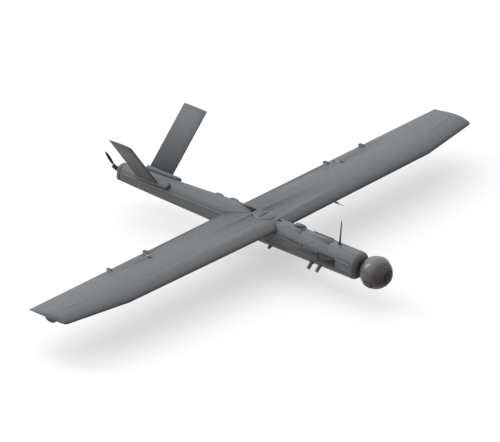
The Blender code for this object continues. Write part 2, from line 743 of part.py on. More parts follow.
def make_tail(side):
    word = "left" if side > 0 else "right"
    root = POD_TOP + 0.0015
    tip = root + TAIL_SPAN
    ahead = TAIL_PIVOT * TAIL_CHORD
    rings = []
    for z, thin, cut in ((root, 1.0, 0.0), (tip - 0.008, 1.0, 0.0), (tip - 0.002, 0.7, 0.001), (tip, 0.4, 0.003)):
        ring = []
        for x, y in foil_points(TAIL_CHORD - 2 * cut, TAIL_THICKNESS, 0.0, incidence=0.0, steps=10):
            ring.append((x + ahead - TAIL_CHORD + cut, y * thin, z))
        rings.append(ring)
    panel = place(loft(word + "_tail_panel", rings), PAINT, 50)
    panel.matrix_world = tail_frame(side)
    bore = cylinder(word + " tail bore", (0, 0, root - 0.01), (0, 0, root + 0.121), PIVOT_R + GAP, 24)
    bore.matrix_world = tail_frame(side)
    boolean(panel, as_cutter(bore))
    tube = place(cylinder(word + "_tail_pivot_tube", (0, 0, 0.022), (0, 0, root + 0.120), PIVOT_R, 24), METAL)
    tube.matrix_world = tail_frame(side)

    front, back = at(POD_FRONT) - PIVOT_X, at(POD_BACK) - PIVOT_X
    radius = POD_WIDTH / 2
    steps = 10
    outline = []
    for centre, start in ((front - radius, -90), (back + radius, 90)):
        for i in range(steps + 1):
            angle = math.radians(start + 180 * i / steps)
            outline.append((centre + radius * math.cos(angle), radius * math.sin(angle)))
    pod = plate(word + "_tail_fairing", outline, POD_TOP - POD_BASE)
    move_mesh(pod, Matrix.Translation((0, -side * POD_SHIFT, (POD_TOP + POD_BASE) / 2)))
    place(pod, PAINT)
    pod.matrix_world = tail_frame(side)
    bevel(pod, 0.006, 3, 60)
    boolean(pod, BODY_FORM)
    boolean(pod, tail_cutter(f"{word} fairing bore", side, PIVOT_R + GAP))
    other = box(word + " fairing side", (-0.2, -0.2 if side > 0 else 0.0, -0.1), (0.2, 0.0 if side > 0 else 0.2, 0.2))
    other.location = (PIVOT_X, side * GAP, AXIS_Z)
    boolean(pod, as_cutter(other))
    low, high = sorted((side * 0.003, side * 0.014))
    servo = box(word + "_tail_servo", (at(0.255), low, AXIS_Z - 0.020), (at(0.280), high, AXIS_Z + 0.004))
    place(servo, DARK)


# ---- propeller ---------------------------------------------------------------------------------
def prop_matrix(turn=0.0):
    return Matrix.Translation((at(0.0), 0, AXIS_Z)) @ Matrix.Rotation(PROP_TURN + turn, 4, "X")


def make_propeller():
    hub = cylinder("prop_hub", (-0.009, 0, 0), (0.009, 0, 0), 0.008, 24)
    place(hub, DARK)
    hub.matrix_world = prop_matrix()
    for sign in (1, -1):
        for cheek in (1, -1):
            low, high = sorted((cheek * 0.0024, cheek * 0.0048))
            z_low, z_high = sorted((sign * 0.005, sign * (FOLD_R + 0.004)))
            ear = box(f"Hub ear {sign} {cheek}", (-0.0045, low, z_low), (0.0045, high, z_high))
            ear.matrix_world = prop_matrix()
            boolean(hub, as_cutter(ear), "UNION")
        pin = cylinder(f"Fold pin {sign}", (0, -0.0056, sign * FOLD_R), (0, 0.0056, sign * FOLD_R), 0.0012, 16)
        pin.matrix_world = prop_matrix()
        boolean(hub, as_cutter(pin), "UNION")
    bore = cylinder("Hub bore", (-0.03, 0, 0), (0.03, 0, 0), SHAFT_R + GAP, 24)
    bore.matrix_world = prop_matrix()
    boolean(hub, as_cutter(bore))
    for number, turn in (("1", 0.0), ("2", math.pi)):
        make_blade(number, turn)
    shaft_end = at(TAIL_SHELL_START) + MOTOR_LENGTH - 0.002
    shaft = place(cylinder("motor_shaft", (at(-0.016), 0, AXIS_Z), (shaft_end, 0, AXIS_Z), SHAFT_R, 24), METAL)
    nut = cylinder("Propeller nut", (at(-0.009) - GAP, 0, AXIS_Z), (at(-0.0135), 0, AXIS_Z), 0.0052, 6)
    boolean(shaft, as_cutter(nut), "UNION")
    start = at(TAIL_SHELL_START) - 0.008
    motor = cylinder("motor", (start, 0, AXIS_Z), (at(TAIL_SHELL_START) + MOTOR_LENGTH, 0, AXIS_Z), MOTOR_R, 28)
    motor_bore = cylinder("Motor bore", (start - 0.01, 0, AXIS_Z), (at(TAIL_SHELL_START) + MOTOR_LENGTH + 0.01, 0, AXIS_Z),
                          SHAFT_R + GAP, 24)
    boolean(bevel(place(motor, METAL), 0.0015, 1), as_cutter(motor_bore))


def make_blade(number, turn):
    """Leaf-shaped blade along Z from its fold pin, with a flat eye at the pin."""
    length = PROP_R - FOLD_R
    stops = (0.0035, 0.010, 0.022, 0.040, 0.060, 0.080, 0.095, length - 0.003, length)
    rings = []
    for reach in stops:
        share = reach / length
        width = BLADE_WIDTH * (0.40 + 0.60 * math.sin(math.pi * min(1.0, share * 1.05) ** 1.1) ** 0.9)
        if reach > length - 0.004:
            width *= 0.6 if reach < length else 0.3
        thick = 0.0036 * (1 - 0.72 * share)
        pitch = math.radians(90 - 60 * min(1.0, reach / 0.022) + 0) if reach < 0.022 else math.radians(30 - 16 * share)
        ring = []
        for i in range(14):
            angle = 2 * math.pi * i / 14
            y, x = 0.5 * width * math.cos(angle), 0.5 * thick * math.sin(angle)
            across = y * math.cos(pitch) - x * math.sin(pitch)
            along = y * math.sin(pitch) + x * math.cos(pitch)
            ring.append((along, across, reach))
        rings.append(ring)
    blade = loft(f"prop_blade_{number}", rings)
    place(blade, CARBON)
    blade.matrix_world = prop_matrix(turn) @ Matrix.Translation((0, 0, FOLD_R))
    eye = cylinder(f"Blade eye {number}", (0, -0.0020, 0), (0, 0.0020, 0), 0.0042, 24)
    eye.matrix_world = blade.matrix_world
    boolean(blade, as_cutter(eye), "UNION")
    bore = cylinder(f"Blade bore {number}", (0, -0.01, 0), (0, 0.01, 0), 0.0012 + GAP, 16)
    bore.matrix_world = blade.matrix_world
    boolean(blade, as_cutter(bore))


# ---- camera ball -------------------------------------------------------------------------------
def make_ball():
    """Ball with its caps, window, camera and fork, all rolled about the body's axis."""
    before = set(bpy.data.objects)
    centre = Vector((0, 0, 0))
    where = (BALL_X, 0, AXIS_Z)
    inner_r = BALL_R - BALL_WALL
    ball = place(sphere("ball_shell", centre, BALL_R, segments=40, rings=20), BALL_PAINT)
    hollow = as_cutter(sphere("Ball inside", centre, inner_r, segments=28, rings=14))
    slot = as_cutter(slot_form())
    sides = [as_cutter(cylinder(f"Ball side {side}", (0, side * side_flat(), 0), (0, side * 0.1, 0), 0.04, 24))
             for side in (1, -1)]
    bearings = as_cutter(cylinder("Tilt bore", (0, -0.1, 0), (0, 0.1, 0), 0.0053, 24))
    front = as_cutter(cylinder("Window opening in ball", (0.03, 0, 0), (0.1, 0, 0), WINDOW_R + GAP, 28))
    for tool in [hollow, slot] + sides + [bearings, front]:
        tool.location = where
        boolean(ball, tool)
    ball.location = where
    for side, word in ((1, "left"), (-1, "right")):
        cap = cylinder(word + "_tilt_cap", (0, side * (side_flat() + GAP), 0), (0, side * (side_flat() + 0.0025), 0),
                       SIDE_CAP_R, 28)
        bevel(place(cap, DARK), 0.0006, 1)
        cap.location = where
    flat = math.sqrt(BALL_R ** 2 - WINDOW_R ** 2)
    window = place(turned("front_window", [(0, BALL_R - flat)] + [
        (BALL_R * math.sin(a), BALL_R * math.cos(a) - flat)
        for a in [math.asin(WINDOW_R / BALL_R) * i / 3 for i in range(1, 4)]] + [(WINDOW_R, -0.002), (0, -0.002)], 28), GLASS)
    window.location = (BALL_X + flat, 0, AXIS_Z)
    window.rotation_euler = (0, math.pi / 2, 0)
    core = place(cylinder("camera_core", (-0.020, 0, 0), (0.050, 0, 0), 0.020, 32), DARK)
    core.location = where
    make_fork(where)
    bpy.context.view_layer.update()
    roll = (Matrix.Translation(where) @ Matrix.Rotation(GIMBAL_ROLL, 4, "X")
            @ Matrix.Translation(-Vector(where)))
    for thing in set(bpy.data.objects) - before:
        thing.matrix_world = roll @ thing.matrix_world


def side_flat():
    """Where the ball's sides are cut flat, on its tilt axis."""
    return math.sqrt(BALL_R ** 2 - (SIDE_CAP_R + 0.002) ** 2)


def slot_form():
    """Slot behind and below, that the stem passes as the ball tilts: a wedge-shaped sweep about Y."""
    half = STEM_R + 0.0015
    rings = []
    for y in (-half, half):
        ring = [(0.0, y, 0.0)]
        for i in range(13):
            angle = math.radians(150 + 140 * i / 12)
            ring.append((0.09 * math.cos(angle), y, 0.09 * math.sin(angle)))
        rings.append(ring)
    return loft("Stem slot", rings)


def make_fork(where):
    """Neck and fork that carry the ball: the neck turns in the nose, the fork holds the tilt axis."""
    collar_front = NOSE_END - 0.0012 - BALL_STATION
    neck = cylinder("gimbal_fork", (NOSE_START - 0.006 - BALL_STATION, 0, 0), (collar_front, 0, 0), NOSE_HOLE - RUN, 28)
    place(neck, DARK)
    neck.location = where
    arm_in, arm_out, back = 0.030, 0.034, -0.046
    stem = cylinder("Fork stem", (collar_front - 0.004, 0, 0), (back + 0.006, 0, 0), STEM_R, 20)
    shaft = cylinder("Fork shaft", (NOSE_START - 0.040 - BALL_STATION, 0, 0), (NOSE_START - 0.004 - BALL_STATION, 0, 0),
                     0.0040, 24)
    bar = box("Fork bar", (back, -arm_out, -0.006), (back + 0.008, arm_out, 0.006))
    pieces = [stem, shaft, bar]
    for side in (1, -1):
        low, high = sorted((side * arm_in, side * arm_out))
        pieces.append(box(f"Fork arm {side}", (back + 0.004, low, -0.0055), (0.008, high, 0.0055)))
        low, high = sorted((side * (arm_in + 0.002), side * (side_flat() - 0.0004)))
        pieces.append(cylinder(f"Fork pivot {side}", (0, low, 0), (0, high, 0), 0.0048, 24))
    for piece in pieces:
        piece.location = where
        boolean(neck, as_cutter(piece), "UNION")
    motor = cylinder("gimbal_roll_motor", (at(NOSE_START) - 0.042, 0, AXIS_Z), (at(NOSE_START) - 0.0145, 0, AXIS_Z), 0.018, 24)
    bore = cylinder("Roll motor bore", (at(NOSE_START) - 0.06, 0, AXIS_Z), (at(NOSE_START), 0, AXIS_Z), 0.0043, 24)
    boolean(bevel(place(motor, METAL), 0.001, 1), as_cutter(bore))


# ---- aerials and fittings ----------------------------------------------------------------------
def surface_frame(station, angle):
    """Matrix on the body's skin where its outward direction is angle degrees from +Y towards +Z."""
    half = body_half(station)
    top, low = corner_radii(station)
    radius = top if math.sin(math.radians(angle)) > 0 else low
    side = 1 if math.cos(math.radians(angle)) > 0 else -1
    up = 1 if math.sin(math.radians(angle)) > 0 else -1
    y = side * (half - radius) + radius * math.cos(math.radians(angle))
    z = up * (half - radius) + radius * math.sin(math.radians(angle))
    turn = Matrix.Rotation(math.radians(angle - 90), 4, "X")
    return Matrix.Translation((at(station), y, AXIS_Z + z)) @ turn


def make_fittings():
    for number, station in (("1", 0.980), ("2", 1.019)):
        plug = turned("belly_connector_" + number, [
            (0, 0.0285), (0.0064, 0.0285), (0.0072, 0.0277), (0.0072, 0.003), (0.0092, 0.003), (0.0092, GAP),
            (0, GAP)], 24)
        place(plug, BRASS if number == "2" else PAINT)
        plug.matrix_world = surface_frame(station, 225)

    dome = turned("satellite_dome", [(0.0, 0.0105)] + [
        (0.024 * math.sin(a), 0.0015 + 0.009 * math.cos(a)) for a in [math.pi / 2 * i / 4 for i in range(1, 5)]]
        + [(0.024, -0.009), (0, -0.009)], 24)
    place(dome, PAINT)
    dome.matrix_world = surface_frame(0.866, 64)
    boolean(dome, BODY_FORM)

    for number, station in (("1", 0.475), ("2", 0.545)):
        scoop = place(sphere("air_scoop_" + number, (0, 0, 0), 1.0, (0.021, 0.009, 0.0065), 20, 10), PAINT)
        scoop.matrix_world = surface_frame(station, 52)
        boolean(scoop, BODY_FORM)
        mouth = box("Scoop mouth " + number, (-0.014, 0.0035, -0.01), (0.014, 0.02, 0.0030))
        mouth.matrix_world = surface_frame(station, 52)
        boolean(scoop, as_cutter(mouth))

    whip = turned("whip_antenna", [(0, 0.098), (0.0020, 0.098), (0.0034, 0.020), (0.0042, 0.008), (0.0066, 0.002),
                                   (0.0062, GAP), (0, GAP)], 12)
    place(whip, DARK)
    whip.location = (at(1.069), 0.006, AXIS_Z + BODY_HALF)

    fin = plate("blade_antenna", [(0.009, 0.0), (0.001, 0.015), (-0.007, 0.015), (-0.009, 0.0)], 0.002)
    move_mesh(fin, Matrix.Translation((0, 0, GAP)) @ Matrix.Rotation(math.pi / 2, 4, "X"))
    place(fin, PAINT)
    fin.matrix_world = surface_frame(0.784, 225)

    hinge_angle = math.degrees(math.acos((HATCH_HALF - (BODY_HALF - corner_radii(0.97)[0])) / corner_radii(0.97)[0]))
    hinge = surface_frame(0.97, hinge_angle) @ Matrix.Translation((0, 0, 0.0016 + GAP))
    knuckle = cylinder("hatch_hinge", (at(HATCH_START) + 0.02, 0, 0), (at(HATCH_END) - 0.02, 0, 0), 0.0016, 12)
    move_mesh(knuckle, Matrix.Translation((-at(0.97), 0, 0)))
    place(knuckle, DARK)
    knuckle.matrix_world = hinge


make_body()
make_button()
make_inside()
make_strips()
make_rail()
for wing_side in (1, -1):
    make_wing(wing_side)
    make_tail(wing_side)
make_knob()
make_pitot()
make_propeller()
make_ball()
make_fittings()
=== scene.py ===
"""Finishes for a fixed wing drone: painted skins, camera ball, propeller, fittings and a plain studio."""
import json
import math

import bmesh
import bpy
from mathutils import Matrix, Vector
from mathutils.bvhtree import BVHTree


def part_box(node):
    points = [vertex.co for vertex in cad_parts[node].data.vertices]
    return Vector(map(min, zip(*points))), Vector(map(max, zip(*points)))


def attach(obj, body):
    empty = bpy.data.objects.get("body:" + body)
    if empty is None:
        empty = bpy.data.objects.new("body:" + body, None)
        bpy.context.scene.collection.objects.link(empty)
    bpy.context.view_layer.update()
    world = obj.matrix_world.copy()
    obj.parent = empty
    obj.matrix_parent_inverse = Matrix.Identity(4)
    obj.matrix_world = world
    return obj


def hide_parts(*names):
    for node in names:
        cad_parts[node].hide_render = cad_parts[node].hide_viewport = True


bl_info = {
    "name": "Fixed Wing Drone Finish",
    "version": (1, 0, 0),
    "blender": (4, 5, 0),
    "location": "View3D > Sidebar > Drone",
    "description": "Skins, small parts, materials and a studio for a fixed wing drone",
    "category": "Add Mesh",
}

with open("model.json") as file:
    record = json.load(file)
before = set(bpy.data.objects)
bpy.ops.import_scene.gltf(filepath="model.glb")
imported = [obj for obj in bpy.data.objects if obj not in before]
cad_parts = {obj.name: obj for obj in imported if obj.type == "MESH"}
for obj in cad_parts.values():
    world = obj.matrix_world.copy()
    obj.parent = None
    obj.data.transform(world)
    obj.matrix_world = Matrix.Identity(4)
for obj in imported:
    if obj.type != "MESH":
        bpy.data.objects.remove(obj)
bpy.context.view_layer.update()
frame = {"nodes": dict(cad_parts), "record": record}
RECORD = frame["record"]
BODY_OF = {node: body for body, nodes in RECORD["behaviour"]["bodies"].items() for node in nodes}
SLOT_OF = {entry["node"]: entry["material_slot"] for entry in RECORD["subparts"]}


def joint_entry(name):
    """What the record says of one joint."""
    return next(joint for joint in RECORD["behaviour"]["joints"] if joint["name"] == name)


HUB = Vector(joint_entry("propeller_spin")["pos_m"])
BALL = Vector(joint_entry("gimbal_tilt")["pos_m"])
TILT_AXIS = Vector(joint_entry("gimbal_tilt")["axis"])
AXIS_Z = HUB.z
SHELL_LOW, SHELL_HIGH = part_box("nose_shell")
HALF = (SHELL_HIGH.y - SHELL_LOW.y) / 2
CORNER = 0.79 * HALF                # radius of the body's rounded corners


def reach(node, centre, direction):
    """How far a node goes from a point in one direction."""
    thing = frame["nodes"][node]
    return max((thing.matrix_world @ vertex.co - centre).dot(direction) for vertex in thing.data.vertices)


BALL_R = reach("ball_shell", BALL, Vector((0, 0, 1)))


# ---- sizes and colours that a user can change --------------------------------------------------
class DroneSizes(bpy.types.PropertyGroup):
    screw_radius: bpy.props.FloatProperty(
        name="Screw radius", description="Heads of the panel screws", default=0.0021, unit="LENGTH")
    seam_radius: bpy.props.FloatProperty(
        name="Seam cord radius", description="Sealing cord along the lower side seams", default=0.0009,
        unit="LENGTH")
    bezel_radius: bpy.props.FloatProperty(
        name="Bezel radius", description="Roundness of the ball's rings", default=0.0011, unit="LENGTH")
    floor_drop: bpy.props.FloatProperty(
        name="Floor drop", description="Floor below the launch rail", default=0.08, unit="LENGTH")
    floor_size: bpy.props.FloatProperty(
        name="Floor size", description="Width of the floor", default=60.0, unit="LENGTH")


class DroneColours(bpy.types.PropertyGroup):
    paint: bpy.props.FloatVectorProperty(
        name="Airframe paint", description="Semi-matte paint", default=(0.130, 0.142, 0.150), subtype="COLOR")
    ball: bpy.props.FloatVectorProperty(
        name="Ball paint", description="Dark gloss paint", default=(0.130, 0.134, 0.139), subtype="COLOR")
    plastic: bpy.props.FloatVectorProperty(
        name="Dark plastic", description="Moulded parts", default=(0.055, 0.052, 0.050), subtype="COLOR")
    floor: bpy.props.FloatVectorProperty(
        name="Floor", description="Plain pale floor", default=(0.64, 0.64, 0.64), subtype="COLOR")


# ---- node groups -------------------------------------------------------------------------------
def new_group(name, inputs, outputs):
    group = bpy.data.node_groups.new(name, "ShaderNodeTree")
    for title, kind, value in inputs:
        socket = group.interface.new_socket(title, in_out="INPUT", socket_type=kind)
        socket.default_value = value
    for title, kind in outputs:
        group.interface.new_socket(title, in_out="OUTPUT", socket_type=kind)
    return group, group.nodes.new("NodeGroupInput"), group.nodes.new("NodeGroupOutput")


def math_node(tree, operation, first, second=None):
    node = tree.nodes.new("ShaderNodeMath")
    node.operation = operation
    for socket, value in zip(node.inputs, (first, second)):
        if value is None:
            continue
        if isinstance(value, (int, float)):
            socket.default_value = value
        else:
            tree.links.new(value, socket)
    return node.outputs[0]


def noise(tree, vector, scale, detail=3.0, rough=0.55):
    node = tree.nodes.new("ShaderNodeTexNoise")
    node.inputs["Detail"].default_value = detail
    node.inputs["Roughness"].default_value = rough
    if isinstance(scale, (int, float)):
        node.inputs["Scale"].default_value = scale
    else:
        tree.links.new(scale, node.inputs["Scale"])
    tree.links.new(vector, node.inputs["Vector"])
    return node.outputs["Fac"]


def ramp(tree, value, low, high):
    node = tree.nodes.new("ShaderNodeMapRange")
    node.inputs["From Min"].default_value = low
    node.inputs["From Max"].default_value = high
    tree.links.new(value, node.inputs["Value"])
    return node.outputs["Result"]


def mix_colour(tree, factor, first, second):
    node = tree.nodes.new("ShaderNodeMix")
    node.data_type = "RGBA"
    for socket, value in ((node.inputs[0], factor), (node.inputs[6], first), (node.inputs[7], second)):
        if isinstance(value, (int, float)):
            socket.default_value = value
        elif isinstance(value, tuple):
            socket.default_value = (*value, 1.0)
        else:
            tree.links.new(value, socket)
    return node.outputs[2]


def make_wear_group():
    """Mask of rubbed edges, broken up by noise."""
    group, start, end = new_group(
        "Rubbed Edges", [("Vector", "NodeSocketVector", (0, 0, 0)), ("Amount", "NodeSocketFloat", 0.5)],
        [("Mask", "NodeSocketFloat")])
    shape = group.nodes.new("ShaderNodeNewGeometry")
    edge = ramp(group, shape.outputs["Pointiness"], 0.56, 0.68)
    broken = ramp(group, noise(group, start.outputs["Vector"], 90.0, 4.0), 0.45, 0.62)
    mask = math_node(group, "MULTIPLY", edge, broken)
    group.links.new(math_node(group, "MULTIPLY", mask, start.outputs["Amount"]), end.inputs["Mask"])
    return group


def make_surface_group():
    """Slow tone change, handling marks and a fine grain, for paint and mouldings."""
    group, start, end = new_group(
        "Surface Grain",
        [("Vector", "NodeSocketVector", (0, 0, 0)), ("Grain Scale", "NodeSocketFloat", 1400.0)],
        [("Tone", "NodeSocketFloat"), ("Marks", "NodeSocketFloat"), ("Height", "NodeSocketFloat")])
    vector = start.outputs["Vector"]
    group.links.new(ramp(group, noise(group, vector, 3.2, 4.0), 0.30, 0.70), end.inputs["Tone"])
    group.links.new(ramp(group, noise(group, vector, 38.0, 5.0, 0.7), 0.35, 0.75), end.inputs["Marks"])
    grain = noise(group, vector, start.outputs["Grain Scale"], 2.0)
    group.links.new(grain, end.inputs["Height"])
    return group


def make_weave_group():
    """Two by two twill of flat yarns, for moulded carbon."""
    group, start, end = new_group(
        "Twill Weave", [("Vector", "NodeSocketVector", (0, 0, 0)), ("Yarns", "NodeSocketFloat", 700.0)],
        [("Tone", "NodeSocketFloat"), ("Height", "NodeSocketFloat")])
    scaled = group.nodes.new("ShaderNodeVectorMath")
    scaled.operation = "SCALE"
    group.links.new(start.outputs["Vector"], scaled.inputs[0])
    group.links.new(start.outputs["Yarns"], scaled.inputs["Scale"])
    parts = group.nodes.new("ShaderNodeSeparateXYZ")
    group.links.new(scaled.outputs[0], parts.inputs[0])
    across = math_node(group, "ADD", parts.outputs["Y"], parts.outputs["X"])
    along = parts.outputs["Z"]
    step = math_node(group, "ADD", math_node(group, "FLOOR", across), math_node(group, "FLOOR", along))
    place = math_node(group, "MODULO", math_node(group, "ABSOLUTE", step), 4.0)
    twill = math_node(group, "LESS_THAN", place, 2.0)
    bow = math_node(group, "SINE", math_node(group, "MULTIPLY", math_node(group, "FRACT", across), math.pi))
    group.links.new(twill, end.inputs["Tone"])
    group.links.new(bow, end.inputs["Height"])
    return group


GROUPS = {}


def place_group(tree, key, vector, **values):
    node = tree.nodes.new("ShaderNodeGroup")
    node.node_tree = GROUPS[key]
    tree.links.new(vector, node.inputs["Vector"])
    for title, value in values.items():
        node.inputs[title.replace("_", " ")].default_value = value
    return node


# ---- materials ---------------------------------------------------------------------------------
def new_material(name, metallic=0.0):
    made = bpy.data.materials.new(name)
    made.use_nodes = True
    tree = made.node_tree
    shader = tree.nodes["Principled BSDF"]
    shader.inputs["Metallic"].default_value = metallic
    where = tree.nodes.new("ShaderNodeTexCoord").outputs["Object"]
    return made, tree, shader, where


def scaled_colour(colour, amount):
    return tuple(channel * amount for channel in colour)


def set_roughness(tree, shader, mask, spread, smoothest):
    """Roughness that a mask raises from its smoothest."""
    raised = math_node(tree, "MULTIPLY", mask, spread)
    tree.links.new(math_node(tree, "ADD", raised, smoothest), shader.inputs["Roughness"])


def set_bump(tree, shader, height, strength, distance):
    lift = tree.nodes.new("ShaderNodeBump")
    lift.inputs["Strength"].default_value = strength
    lift.inputs["Distance"].default_value = distance
    tree.links.new(height, lift.inputs["Height"])
    tree.links.new(lift.outputs["Normal"], shader.inputs["Normal"])


def surface_material(name, colour, rough, tone=0.06, wear=0.3, worn=(0.35, 0.36, 0.37), grain=1400.0,
                     bump=0.03, metallic=0.0, coat=0.0):
    """Paint or moulded plastic with slow tone change, marks, rubbed edges and a fine grain."""
    made, tree, shader, where = new_material(name, metallic)
    surface = place_group(tree, "surface", where, Grain_Scale=grain)
    edges = place_group(tree, "wear", where, Amount=wear)
    low, high = scaled_colour(colour, 1 - tone), scaled_colour(colour, 1 + tone)
    base = mix_colour(tree, surface.outputs["Tone"], low, high)
    marked = mix_colour(tree, math_node(tree, "MULTIPLY", surface.outputs["Marks"], 0.05), base,
                        scaled_colour(colour, 0.72))
    tree.links.new(mix_colour(tree, edges.outputs["Mask"], marked, worn), shader.inputs["Base Color"])
    set_roughness(tree, shader, surface.outputs["Marks"], 0.12, rough - 0.05)
    set_bump(tree, shader, surface.outputs["Height"], bump, 0.0004)
    shader.inputs["Coat Weight"].default_value = coat
    shader.inputs["Coat Roughness"].default_value = 0.12
    return made


def brushed_material(name, colour, rough, streak):
    """Turned or drawn metal, with fine lines along X."""
    made, tree, shader, where = new_material(name, 1.0)
    stretch = tree.nodes.new("ShaderNodeMapping")
    stretch.inputs["Scale"].default_value = streak
    tree.links.new(where, stretch.inputs["Vector"])
    lines = noise(tree, stretch.outputs["Vector"], 60.0, 4.0)
    edges = place_group(tree, "wear", where, Amount=0.6)
    base = mix_colour(tree, lines, scaled_colour(colour, 0.82), colour)
    tree.links.new(mix_colour(tree, edges.outputs["Mask"], base, (0.85, 0.85, 0.86)),
                   shader.inputs["Base Color"])
    set_roughness(tree, shader, lines, 0.22, rough - 0.1)
    set_bump(tree, shader, lines, 0.05, 0.0003)
    return made


def carbon_material():
    made, tree, shader, where = new_material("Moulded carbon")
    weave = place_group(tree, "weave", where, Yarns=620.0)
    edges = place_group(tree, "wear", where, Amount=0.3)
    base = mix_colour(tree, weave.outputs["Tone"], (0.030, 0.030, 0.031), (0.062, 0.062, 0.064))
    tree.links.new(mix_colour(tree, edges.outputs["Mask"], base, (0.14, 0.14, 0.15)),
                   shader.inputs["Base Color"])
    set_roughness(tree, shader, weave.outputs["Tone"], 0.14, 0.26)
    set_bump(tree, shader, weave.outputs["Height"], 0.12, 0.0002)
    shader.inputs["Coat Weight"].default_value = 0.5
    shader.inputs["Coat Roughness"].default_value = 0.08
    return made


def glass_material():
    """Dark coated window with faint wiping marks."""
    made, tree, shader, where = new_material("Coated window")
    surface = place_group(tree, "surface", where, Grain_Scale=500.0)
    tree.links.new(mix_colour(tree, surface.outputs["Tone"], (0.030, 0.027, 0.025), (0.048, 0.043, 0.040)),
                   shader.inputs["Base Color"])
    set_roughness(tree, shader, surface.outputs["Marks"], 0.10, 0.08)
    shader.inputs["Coat Weight"].default_value = 0.6
    shader.inputs["Coat Roughness"].default_value = 0.05
    return made


LOOKS = {}


class DRONE_OT_materials(bpy.types.Operator):
    """Build the node groups and every material, and paint the CAD nodes with them"""
    bl_idname = "drone.materials"
    bl_label = "Materials"

    def execute(self, context):
        colours = context.scene.drone_colours
        paint, ball, plastic = tuple(colours.paint), tuple(colours.ball), tuple(colours.plastic)
        GROUPS.update(wear=make_wear_group(), surface=make_surface_group(), weave=make_weave_group())
        LOOKS.update(
            airframe_paint=surface_material("Airframe paint", paint, 0.50, tone=0.035, wear=0.18),
            # rail paint: the airframe paint lightened 1.9 times, a painted highlight along the rails; its
            # rubbed edges are real wear
            rail_paint=surface_material("Rail paint with painted highlight", scaled_colour(paint, 1.9), 0.34, tone=0.05,
                                        wear=0.6, grain=900.0),
            ball_paint=surface_material("Ball paint", ball, 0.30, tone=0.05, wear=0.2, grain=2400.0,
                                        bump=0.02, metallic=0.6, coat=0.35),
            dark_glass=glass_material(),
            carbon=carbon_material(),
            dark_plastic=surface_material("Moulded dark plastic", plastic, 0.48, tone=0.10,
                                          worn=(0.16, 0.16, 0.16), grain=900.0, bump=0.10),
            bright_metal=brushed_material("Satin metal", (0.60, 0.61, 0.63), 0.34, (1.0, 14.0, 14.0)),
            brass=brushed_material("Plated connector", (0.30, 0.29, 0.26), 0.36, (10.0, 10.0, 1.0)),
            battery_wrap=surface_material("Battery wrap", (0.03, 0.07, 0.16), 0.30, tone=0.08, grain=500.0,
                                          bump=0.05, coat=0.4),
            seal=surface_material("Sealing rubber", (0.022, 0.021, 0.020), 0.62, tone=0.12, wear=0.1,
                                  grain=700.0, bump=0.12))
        for node, thing in frame["nodes"].items():
            for material_slot in thing.material_slots:
                material_slot.material = LOOKS[SLOT_OF[node]]
        return {"FINISHED"}


# ---- modelling helpers -------------------------------------------------------------------------
def deselect_all():
    if bpy.context.object and bpy.context.object.mode != "OBJECT":
        bpy.ops.object.mode_set(mode="OBJECT")
    bpy.ops.object.select_all(action="DESELECT")


def only(thing):
    deselect_all()
    thing.select_set(True)
    bpy.context.view_layer.objects.active = thing
    return thing


def edit(thing, select="SELECT"):
    only(thing)
    bpy.ops.object.mode_set(mode="EDIT")
    bpy.ops.mesh.select_all(action=select)


def leave_edit():
    bpy.ops.object.mode_set(mode="OBJECT")


def select_faces(thing, test):
    """Select the faces whose centre and normal pass a test, and go into edit mode on them."""
    edit(thing, "DESELECT")
    leave_edit()
    for face in thing.data.polygons:
        face.select = test(face.center, face.normal)
    bpy.ops.object.mode_set(mode="EDIT")


def settle(thing, name, body, look, angle=35.0):
    """Apply the place to the mesh, paint it and fix it to its body."""
    only(thing)
    bpy.ops.object.transform_apply(location=True, rotation=True, scale=True)
    bpy.ops.object.shade_smooth_by_angle(angle=math.radians(angle))
    thing.name = name
    thing.data.name = name
    thing.data.materials.clear()
    thing.data.materials.append(LOOKS[look])
    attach(thing, body)
    return thing


def skin(node, angle=35.0, look=None):
    """A smooth skin with a node's own shape, in its place."""
    mesh = frame["nodes"][node].data.copy()
    thing = bpy.data.objects.new(node + "_skin", mesh)
    bpy.context.scene.collection.objects.link(thing)
    edit(thing)
    bpy.ops.mesh.remove_doubles(threshold=2e-6)
    leave_edit()
    settle(thing, node + "_skin", BODY_OF[node], look or SLOT_OF[node], angle)
    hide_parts(node)
    return thing


CAP_STEP = 0.0018                   # the flat of a tilt cap, in from its outer face
SKIN_DEPTH = 0.0012                 # faces this near the ball's true radius belong to its outside


def round_off(thing, centre, radius, front):
    """Split the faces of a ball's outside and bring their corners onto its true radius."""
    side = reach("left_tilt_cap", centre, TILT_AXIS) - CAP_STEP
    only(thing)
    mesh = bmesh.new()
    mesh.from_mesh(thing.data)
    outside = [face for face in mesh.faces
               if all((vertex.co - centre).length > radius - SKIN_DEPTH for vertex in face.verts)
               and face.normal.dot((face.calc_center_median() - centre).normalized()) > 0.95
               and abs((face.calc_center_median() - centre).dot(TILT_AXIS)) < side
               and face.calc_center_median().x - centre.x < front]
    edges = list({edge for face in outside for edge in face.edges})
    bmesh.ops.subdivide_edges(mesh, edges=edges, cuts=3, use_grid_fill=True)
    for vertex in mesh.verts:
        out = vertex.co - centre
        if radius - SKIN_DEPTH < out.length < radius and abs(out.dot(TILT_AXIS)) < side and out.x < front:
            vertex.co = centre + out.normalized() * radius
    mesh.to_mesh(thing.data)
    mesh.free()
    bpy.ops.object.shade_smooth_by_angle(angle=math.radians(40))
    return thing


def join(things, name, body, look, angle=35.0):
    deselect_all()
    for thing in things:
        thing.select_set(True)
    bpy.context.view_layer.objects.active = things[0]
    bpy.ops.object.join()
    return settle(things[0], name, body, look, angle)


